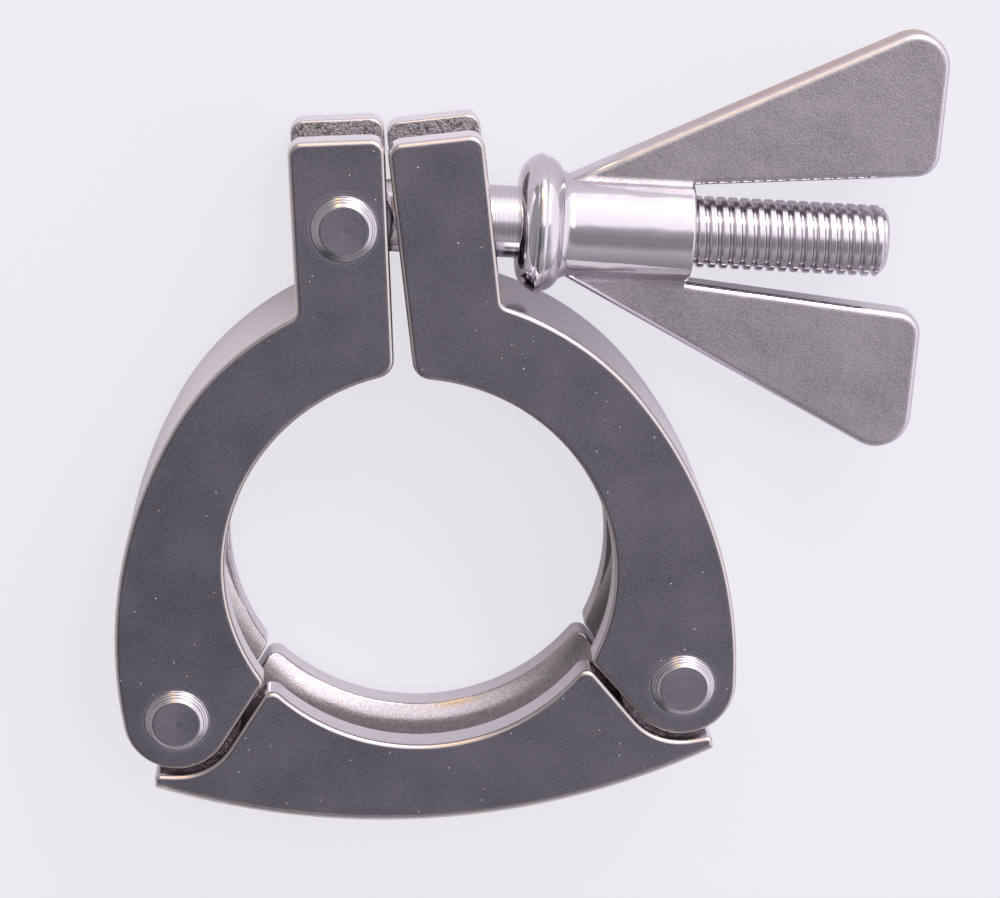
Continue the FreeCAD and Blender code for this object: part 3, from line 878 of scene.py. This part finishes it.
class SANITARY_CLAMP_OT_stage(bpy.types.Operator):
    """Lay the floor, set the soft light and place the camera"""

    bl_idname = "sanitary_clamp.stage"
    bl_label = "Set the stage"

    # Shares of plain glow in the floor as the camera and the polished steel see it, and the
    # backdrop's brightness to the camera.
    FLOOR_TO_CAMERA, FLOOR_TO_STEEL, ROOM_TO_CAMERA = 0.82, 0.14, 0.93
    FLOOR_REACH = 6.0

    # Brightness of the room by the angle from straight up, tilted to the clamp's bottom (below 0)
    # or to its ears (above 0). The ears' side is the bright one, like a wall of soft light.
    ROOM_LEVELS = (
        (-125, 0.36), (-86, 0.36), (-68, 0.48), (-54, 0.58), (-42, 0.70), (-34, 0.52),
        (-26, 0.38), (-8, 0.42), (3, 0.56), (9, 0.80), (16, 1.60), (40, 1.80), (70, 1.70),
        (95, 1.50),
    )
    # The room dims towards its left: where it is dimmest and where plain, and the dimmest share.
    DIM_LEFT, DIMMEST = (-0.42, -0.02), 0.28
    # Its walls: how far to the right (below 0, to the left) each begins and is full, the angles at
    # which it begins and is full, and its brightness.
    WALLS = (
        ((0.16, 0.34), (0, 10), 2.3),
        ((0.45, 0.80), (-100, -70), 1.5),
        ((-0.55, -0.85), (-100, -70), 0.5),
    )
    # A patch of golden light: its left and right ends, and its lower and upper ends in radians.
    GOLDEN_ENDS = ((-0.24, -0.16), (0.02, -0.06))
    GOLDEN_ANGLES = ((0.38, 0.50), (1.20, 1.00))
    ROOM_HUE, GOLDEN_HUE = linear("#f4f1f8"), linear("#f5d59a")

    def execute(self, context):
        settings = context.scene.stage_settings
        self.lay_floor(context.scene)
        self.light_room(context.scene)
        self.add_softbox(
            "softbox", place=(0.30, 0.55, 0.33), size=(0.36, 0.22),
            power=settings.softbox_power, colour=linear("#ffffff"),
        )
        self.add_softbox(
            "warm_panel", place=(-0.12, 0.60, 0.26), size=(0.10, 0.16),
            power=settings.warm_power, colour=linear("#ffca86"),
        )
        self.place_camera(context.scene)
        return {"FINISHED"}

    def lay_floor(self, scene):
        """A floor that shows pale to the eye and to polished steel, and takes the shadow."""
        low, reach = Vector(CAD_BOX[0]).z, self.FLOOR_REACH
        build = bmesh.new()
        for x, y in ((-reach, -reach), (reach, -reach), (reach, reach), (-reach, reach)):
            build.verts.new((x, y, low))
        build.faces.new(build.verts)
        floor = finish_mesh("floor", build, sharp=30)

        # A plain matt painted board: the eye gets an even pale ground with a soft shadow.
        material = bpy.data.materials.new("plain_pale_floor")
        material.use_nodes = True
        tree = material.node_tree
        shader = tree.nodes["Principled BSDF"]
        pale = shade(scene.clamp_finishes.floor)
        shader.inputs["Base Color"].default_value = pale
        shader.inputs["Roughness"].default_value = 0.7
        shader.inputs["Specular IOR Level"].default_value = 0.2
        path = add_node(tree, "ShaderNodeLightPath")
        to_camera, to_steel = (
            add_node(tree, "ShaderNodeMath", {0: path[ray], 1: part}, operation="MULTIPLY")[0]
            for ray, part in (
                ("Is Camera Ray", self.FLOOR_TO_CAMERA), ("Is Glossy Ray", self.FLOOR_TO_STEEL),
            )
        )
        share = add_node(
            tree, "ShaderNodeMath", {0: to_camera, 1: to_steel}, operation="MAXIMUM",
        )[0]
        glow = add_node(tree, "ShaderNodeEmission", {"Color": pale})[0]
        mixed = add_node(
            tree, "ShaderNodeMixShader", {0: share, 1: shader.outputs[0], 2: glow},
        )[0]
        tree.links.new(mixed, tree.nodes["Material Output"].inputs["Surface"])
        give(floor, material)

    def light_room(self, scene):
        """A soft room that polished steel mirrors, and a plain pale backdrop for the camera."""
        world = bpy.data.worlds.new("soft_room")
        world.use_nodes = True
        tree = world.node_tree
        scene.world = world
        way = add_node(tree, "ShaderNodeTexCoord")["Generated"]
        parts = add_node(tree, "ShaderNodeSeparateXYZ", {0: way})
        tilt = add_node(
            tree, "ShaderNodeMath", {0: parts[1], 1: parts[2]}, operation="ARCTAN2",
        )[0]
        turn = add_node(
            tree, "ShaderNodeMapRange", {"Value": tilt, "From Min": -math.pi, "From Max": math.pi},
        )[0]
        ramp = add_node(tree, "ShaderNodeValToRGB", {"Fac": turn})
        points = ramp[0].node.color_ramp.elements
        while len(points) < len(self.ROOM_LEVELS):
            points.new(0.5)
        brightest = max(level for angle, level in self.ROOM_LEVELS)
        for point, (angle, level) in zip(points, self.ROOM_LEVELS):
            point.position = (angle + 180) / 360
            point.color = shade((1.0, 1.0, 1.0), level / brightest)
        level = add_node(
            tree, "ShaderNodeMath", {0: ramp[0], 1: brightest}, operation="MULTIPLY",
        )[0]
        dimmest_at, plain_at = self.DIM_LEFT
        dim = add_node(tree, "ShaderNodeMapRange", {
            "Value": parts[0], "From Min": dimmest_at, "From Max": plain_at,
            "To Min": self.DIMMEST,
        })[0]
        level = add_node(tree, "ShaderNodeMath", {0: level, 1: dim}, operation="MULTIPLY")[0]
        for ends, angles, wall in self.WALLS:
            angles = [math.radians(angle) for angle in angles]
            there = self.between(tree, 1.0, ((parts[0], ends), (tilt, angles)))
            level = add_node(
                tree, "ShaderNodeMix", {"Factor": there, NUMBER_A: level, NUMBER_B: wall},
            )[0]

        seen = add_node(tree, "ShaderNodeLightPath")["Is Camera Ray"]
        strength = add_node(
            tree, "ShaderNodeMix",
            {"Factor": seen, NUMBER_A: level, NUMBER_B: self.ROOM_TO_CAMERA},
        )[0]
        unseen = add_node(tree, "ShaderNodeMath", {0: 1.0, 1: seen}, operation="SUBTRACT")[0]
        limits = [(parts[0], ends) for ends in self.GOLDEN_ENDS]
        limits += [(tilt, angles) for angles in self.GOLDEN_ANGLES]
        golden = self.between(tree, unseen, limits)
        hue = add_node(
            tree, "ShaderNodeMix", {
                "Factor": golden, COLOUR_A: shade(self.ROOM_HUE), COLOUR_B: shade(self.GOLDEN_HUE),
            }, data_type="RGBA",
        )[COLOUR_OUT]
        background = tree.nodes["Background"]
        tree.links.new(hue, background.inputs["Color"])
        tree.links.new(strength, background.inputs["Strength"])

    def between(self, tree, share, limits):
        """A share kept only where each value is past its limit, which begins and is then full."""
        for told_by, (start, end) in limits:
            within = add_node(
                tree, "ShaderNodeMapRange", {"Value": told_by, "From Min": start, "From Max": end},
                interpolation_type="SMOOTHSTEP",
            )[0]
            share = add_node(
                tree, "ShaderNodeMath", {0: share, 1: within}, operation="MULTIPLY",
            )[0]
        return share

    def add_softbox(self, name, place, size, power, colour):
        """A soft rectangular lamp that points at the clamp."""
        lamp = bpy.data.lights.new(name, "AREA")
        lamp.shape = "RECTANGLE"
        lamp.size, lamp.size_y = size
        lamp.energy = power
        lamp.color = colour
        box = bpy.data.objects.new(name, lamp)
        box.location = place
        box.rotation_euler = (-Vector(place)).to_track_quat("-Z", "Y").to_euler()
        bpy.context.scene.collection.objects.link(box)

    def place_camera(self, scene):
        """The camera at the photograph's viewing angle."""
        settings = scene.stage_settings
        data = bpy.data.cameras.new("photo_view")
        data.sensor_width = settings.sensor_width
        data.lens = settings.lens
        data.clip_start = 0.01
        camera = bpy.data.objects.new("photo_view", data)
        back = (Vector(settings.camera_at) - Vector(settings.camera_aim)).normalized()
        right = Vector((0, 1, 0)).cross(back).normalized()
        turn = Matrix((right, back.cross(right), back)).transposed().to_4x4()
        roll = Matrix.Rotation(settings.camera_roll, 4, "Z")
        camera.matrix_world = Matrix.Translation(Vector(settings.camera_at)) @ turn @ roll
        scene.collection.objects.link(camera)
        scene.camera = camera
        scene.view_settings.view_transform = "Standard"


class SANITARY_CLAMP_PT_panel(bpy.types.Panel):
    """Steps and settings of the clamp"""

    bl_idname = "SANITARY_CLAMP_PT_panel"
    bl_label = "Sanitary clamp"
    bl_space_type = "VIEW_3D"
    bl_region_type = "UI"
    bl_category = "Clamp"

    def draw(self, context):
        column = self.layout.column()
        for step in STEPS:
            column.operator(step.bl_idname)
        scene = context.scene
        for group in (scene.clamp_sizes, scene.clamp_finishes, scene.stage_settings):
            for name in group.bl_rna.properties.keys():
                if name not in ("rna_type", "name"):
                    column.prop(group, name)


STEPS = (
    SANITARY_CLAMP_OT_segments,
    SANITARY_CLAMP_OT_pins,
    SANITARY_CLAMP_OT_bolt,
    SANITARY_CLAMP_OT_nut,
    SANITARY_CLAMP_OT_stage,
)
CLASSES = (ClampSizes, ClampFinishes, StageSettings, *STEPS, SANITARY_CLAMP_PT_panel)


def register():
    for cls in CLASSES:
        bpy.utils.register_class(cls)
    bpy.types.Scene.clamp_sizes = PointerProperty(type=ClampSizes)
    bpy.types.Scene.clamp_finishes = PointerProperty(type=ClampFinishes)
    bpy.types.Scene.stage_settings = PointerProperty(type=StageSettings)


def unregister():
    del bpy.types.Scene.stage_settings
    del bpy.types.Scene.clamp_finishes
    del bpy.types.Scene.clamp_sizes
    for cls in reversed(CLASSES):
        bpy.utils.unregister_class(cls)


def main():
    register()
    bpy.ops.sanitary_clamp.segments()
    bpy.ops.sanitary_clamp.pins()
    bpy.ops.sanitary_clamp.bolt()
    bpy.ops.sanitary_clamp.nut()
    bpy.ops.sanitary_clamp.stage()


if __name__ == "__main__":
    main()
